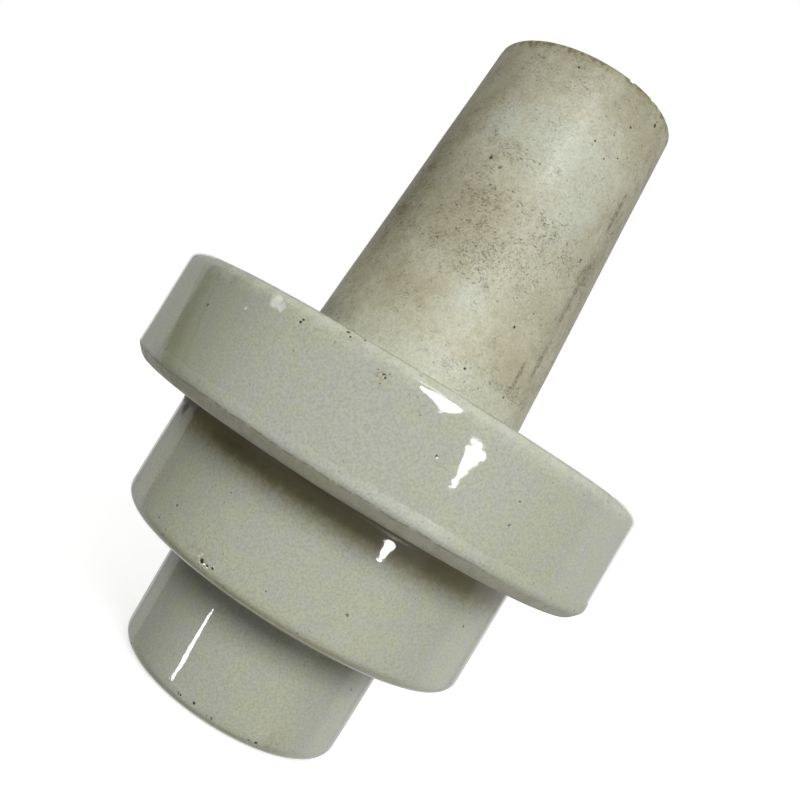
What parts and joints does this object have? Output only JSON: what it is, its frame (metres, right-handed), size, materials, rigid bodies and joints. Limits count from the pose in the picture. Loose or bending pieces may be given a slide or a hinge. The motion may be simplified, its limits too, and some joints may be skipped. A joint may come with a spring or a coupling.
{
  "type": "fence insulator",
  "caption": "Stepped glazed porcelain stand-off insulator for an electric fence, with a tapered bare stem and a cemented threaded steel bush in each end.",
  "frame": {"origin": "centre of the nose's end face, which is the face that the insulator stands on", "axes": "+Z along the body's axis, from the nose through the flange to the end of the stem"},
  "size_m": [0.1, 0.1, 0.1378],
  "materials": {
    "porcelain": "glossy grey-white glaze on the tiers, bare matt stem",
    "plated_steel": "dull zinc plating",
    "cement": "matt, sandy",
    "cork": "pressed cork, matt",
    "sealing_compound": "satin black compound"
  },
  "bodies": {
    "root": {"porcelain_body": "porcelain", "wire_bush": "plated_steel", "wire_cement": "cement", "wire_cushion": "cork", "wire_seal": "sealing_compound", "post_bush": "plated_steel", "post_cement": "cement", "post_cushion": "cork", "post_seal": "sealing_compound"}
  },
  "joints": []
}
